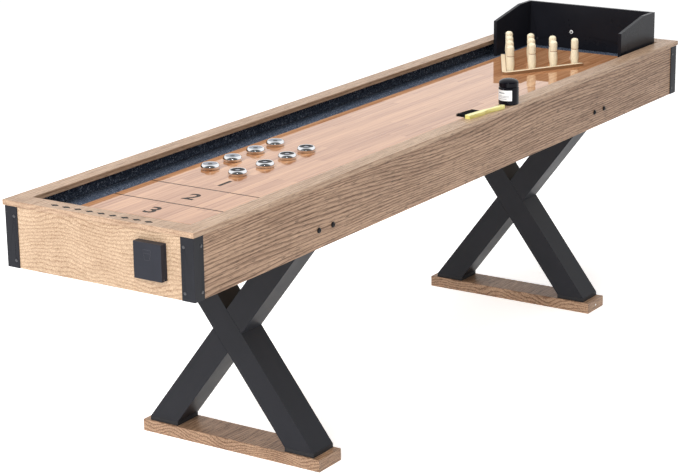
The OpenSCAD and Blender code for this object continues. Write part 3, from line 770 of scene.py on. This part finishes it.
def pin_outline(r, h):
    """Half outline of a pin: swollen body, painted groove, straight head with a blunt dome."""
    base_r = 10.2 * MM
    neck_r = 11.6 * MM
    head_r = 12.2 * MM
    groove_z = PIN_GROOVE * h
    body = []
    for i in range(BODY_STEPS + 1):
        t = i / BODY_STEPS
        swell = math.sin(math.pi * t) ** 1.2
        radius = base_r + (neck_r - base_r) * t + (r - neck_r) * swell
        body.append((radius, 1.2 * MM + t * (groove_z - 2.0 * MM)))
    head = [(PIN_GROOVE_R, groove_z), (PIN_GROOVE_R, groove_z + 1.4 * MM),
            (head_r - 0.5 * MM, groove_z + 2.4 * MM), (head_r, groove_z + 4.5 * MM),
            (head_r, PIN_SHOULDER * h)]
    dome = []
    for i in range(1, DOME_STEPS + 1):
        angle = math.pi / 2 * i / DOME_STEPS
        rise = (1 - PIN_SHOULDER) * h * math.sin(angle) ** 0.85
        dome.append((head_r * math.cos(angle), PIN_SHOULDER * h + rise))
    dome[-1] = (0, h)
    return [(0, 0), (base_r - 0.9 * MM, 0)] + body + head + dome


def make_pins():
    beech = turned_beech()
    paint_ring = pin_paint()
    for number in range(1, 11):
        node = f"pin_{number}"
        low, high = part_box(node)
        centre = Vector(((low.x + high.x) / 2, (low.y + high.y) / 2, low.z))
        r = (high.x - low.x) / 2
        h = high.z - low.z
        body = lathe(f"{node}_body", pin_outline(r, h), centre, beech, 48, 50)
        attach(body, node)
        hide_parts(node)
        inside = PIN_GROOVE_R - 0.6 * MM
        outside = PIN_GROOVE_R + 0.15 * MM
        bottom = PIN_GROOVE * h - 0.1 * MM
        top = PIN_GROOVE * h + 1.5 * MM
        band = [(inside, bottom), (outside, bottom), (outside, top), (inside, top), (inside, bottom)]
        ring = lathe(f"{node}_ring", band, centre, paint_ring, 48)
        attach(ring, node)


# --- Brush ---

BRUSH_AT = (0.00175, -0.279)
BRUSH_TURN = math.radians(-7)
TUFTS_LONG = 19
TUFT_ROWS = 3
HAIRS = 16
HAIR_R = 0.32 * MM
ROW_START = 6 * MM
ROW_LEN = 74 * MM
ROOT_LOW = 3 * MM
ROOT_SPREAD = 5 * MM
BRISTLE_START = 18 * MM
BRISTLE_LEN = 38 * MM


def brush_point(x, y, z):
    """Turns a point from the brush's own frame into the part's frame."""
    turned = Matrix.Rotation(BRUSH_TURN, 3, "Z") @ Vector((x, y, z))
    return turned + Vector((BRUSH_AT[0], BRUSH_AT[1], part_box("brush_handle")[0].z))


def make_bristles():
    """Tufts of tapered hairs set in rows along the brush's block, splayed a little at the tips."""
    rng = random.Random(7)
    points = []
    faces = []
    for tuft in range(TUFTS_LONG):
        for row in range(TUFT_ROWS):
            root_x = ROW_START + ROW_LEN * tuft / (TUFTS_LONG - 1)
            root_z = ROOT_LOW + ROOT_SPREAD * row / (TUFT_ROWS - 1)
            for _ in range(HAIRS):
                root = Vector((root_x + rng.uniform(-1.4, 1.4) * MM, BRISTLE_START - 2 * MM,
                               root_z + rng.uniform(-0.9, 0.9) * MM))
                length = BRISTLE_LEN * rng.uniform(0.93, 1.0)
                lean = Vector((rng.uniform(-2.2, 2.2) * MM, length, rng.uniform(-0.6, 0.6) * MM))
                bow = Vector((rng.uniform(-1, 1) * MM, 0, rng.uniform(-0.3, 0.3) * MM))
                add_hair(points, faces, root, lean, bow)
    hairs = make_mesh("brush_hairs", points, faces, bristle_hair(), 60)
    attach(hairs, "brush")
    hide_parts("brush_bristles")


def add_hair(points, faces, root, lean, bow, sides=4, rings=4):
    """Adds one tapered hair from root along lean, bent sideways by bow, closed at both ends."""
    first = len(points)
    for i in range(rings + 1):
        t = i / rings
        middle = root + lean * t + bow * math.sin(math.pi * t)
        radius = HAIR_R * (1 - 0.55 * t)
        for k in range(sides):
            angle = 2 * math.pi * k / sides
            points.append(brush_point(middle.x + radius * math.cos(angle), middle.y,
                                      middle.z + radius * math.sin(angle)))
    for i in range(rings):
        for k in range(sides):
            a = first + i * sides + k
            b = first + i * sides + (k + 1) % sides
            faces.append((b, a, a + sides, b + sides))
    faces.append([first + k for k in range(sides)])
    faces.append([first + rings * sides + k for k in reversed(range(sides))])


def make_brush():
    varnished = wood("brush_varnish", (0.86, 0.80, 0.27), (0.74, 0.64, 0.17), "x", rings=90, figure=2.0,
                     contrast=0.2, pores=0.1, roughness=0.25, coat=0.7)
    paint(["brush_handle"], varnished, 1.8 * MM)
    make_bristles()


# --- Bottle label ---

LABEL_ARC = math.radians(103)
LABEL_FACES = math.radians(177)
LABEL_LOW = 14 * MM
LABEL_HIGH = 46 * MM
LABEL_THICK = 0.12 * MM
BAR_THICK = 0.03 * MM


def curved_band(name, centre, radius, thick, low, high, middle, arc, material, steps=28):
    """A thin closed sheet wrapped part of the way round a cylinder that stands on centre."""
    points = []
    for i in range(steps + 1):
        angle = middle + arc * (i / steps - 0.5)
        for r, z in ((radius, low), (radius + thick, low), (radius + thick, high), (radius, high)):
            points.append((centre[0] + r * math.cos(angle),
                           centre[1] + r * math.sin(angle),
                           centre[2] + z))
    faces = [(3, 2, 1, 0), tuple(4 * steps + k for k in range(4))]
    for i in range(steps):
        for k in range(4):
            a = 4 * i + k
            b = 4 * i + (k + 1) % 4
            faces.append((a, b, b + 4, a + 4))
    return make_mesh(name, points, faces, material, 40)


def make_label():
    """A paper label with plain printed bars in place of lettering."""
    low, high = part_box("wax_bottle")
    centre = ((low.x + high.x) / 2, (low.y + high.y) / 2, low.z)
    radius = (high.x - low.x) / 2
    paper = curved_band("bottle_label", centre, radius, LABEL_THICK, LABEL_LOW, LABEL_HIGH, LABEL_FACES,
                        LABEL_ARC, label_paper())
    # Each bar: its name, bottom and top in mm, its share of the label's width, its shift to one side.
    bars = [("label_bar_wide", 36, 39, 0.45, -0.15), ("label_bar_mid", 28, 29.2, 0.7, 0.0),
            ("label_bar_low", 24, 25.2, 0.7, 0.0), ("label_bar_foot", 19, 20.2, 0.55, -0.08)]
    grey = satin("label_print", (0.18, 0.19, 0.22), 0.4, 1500.0, 0.0)
    pieces = [paper]
    for name, bar_low, bar_high, share, shift in bars:
        bar = curved_band(name, centre, radius + LABEL_THICK, BAR_THICK, bar_low * MM, bar_high * MM,
                          LABEL_FACES + shift * LABEL_ARC, share * LABEL_ARC, grey)
        pieces.append(bar)
    for piece in pieces:
        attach(piece, "bottle")


# --- Cup holder's raised outline, washer and plug ---

SCREW_ABOVE_ANGLE = 6.5 * MM


def raised_stroke(name, ends, x, width, height, material, body):
    """A rounded bar raised from a face that looks along -X, between two (y, z) points."""
    start, stop = Vector(ends[0]), Vector(ends[1])
    run = (stop - start).normalized()
    side = Vector((-run.y, run.x)) * width / 2
    start = start - run * width / 2
    stop = stop + run * width / 2
    shape = [start + side, start - side, stop - side, stop + side]
    points = [(x, p.x, p.y) for p in shape] + [(x - height, p.x, p.y) for p in shape]
    faces = [(0, 1, 2, 3), (7, 6, 5, 4), (0, 4, 5, 1), (1, 5, 6, 2), (2, 6, 7, 3), (3, 7, 4, 0)]
    stroke = make_mesh(name, points, faces, material, 35)
    soften(stroke, 0.25 * MM, 2)
    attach(stroke, body)


def cup_holder_emblem():
    """A plain tumbler in raised outline near the top of the door."""
    low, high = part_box("cup_holder_door")
    middle = (low.y + high.y) / 2
    top = high.z - 18 * MM
    foot = top - 26 * MM
    wide = 12 * MM
    narrow = 8 * MM
    material = satin("emblem_plastic", (0.035, 0.036, 0.044), 0.28, 1100.0, 0.01)
    strokes = {
        "emblem_left": ((middle - wide, top), (middle - narrow, foot)),
        "emblem_right": ((middle + wide, top), (middle + narrow, foot)),
        "emblem_rim": ((middle - wide, top), (middle + wide, top)),
        "emblem_foot": ((middle - narrow, foot), (middle + narrow, foot)),
        "emblem_level": ((middle - 10.5 * MM, top - 9 * MM), (middle + 10.5 * MM, top - 9 * MM)),
    }
    for name, ends in strokes.items():
        raised_stroke(name, ends, low.x, 1.6 * MM, 0.5 * MM, material, "cup_door")


def backboard_washer(material):
    """The white cup washer round the screw through the backboard."""
    outline = [(3.4 * MM, 0), (6.8 * MM, 0), (6.6 * MM, 1.0 * MM), (5.6 * MM, 1.9 * MM),
               (4.4 * MM, 2.1 * MM), (3.4 * MM, 1.4 * MM), (3.4 * MM, 0)]
    face_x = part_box("backboard_panel")[0].x
    low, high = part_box("backboard_angle")
    screw = Vector((face_x, (low.y + high.y) / 2, low.z + SCREW_ABOVE_ANGLE))
    ring = lathe("backboard_washer", outline, (0, 0, 0), material, 40)
    ring.matrix_world = Matrix.Translation(screw) @ Matrix.Rotation(-math.pi / 2, 4, "Y")
    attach(ring, "table")


def foot_plug(material):
    """The small white plug in the right-hand end of the far foot board."""
    outline = [(0, 0), (3.5 * MM, 0), (3.3 * MM, 0.5 * MM), (2.4 * MM, 0.9 * MM), (0, 1.1 * MM)]
    low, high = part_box("far_foot_board")
    middle = Vector(((low.x + high.x) / 2, low.y, high.z / 2))
    plug = lathe("foot_plug", outline, (0, 0, 0), material, 32)
    plug.matrix_world = Matrix.Translation(middle) @ Matrix.Rotation(math.pi / 2, 4, "X")
    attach(plug, "table")


# --- The scene ---

make_camera()
make_studio()
paint_wood()
paint_steel()
paint_plastic()
ink_printing()
rail_inlays()
gutter_carpets()
make_pucks()
make_pins()
make_brush()
make_label()
cup_holder_emblem()
fitting_plastic = white_plastic()
backboard_washer(fitting_plastic)
foot_plug(fitting_plastic)

bpy.context.view_layer.update()
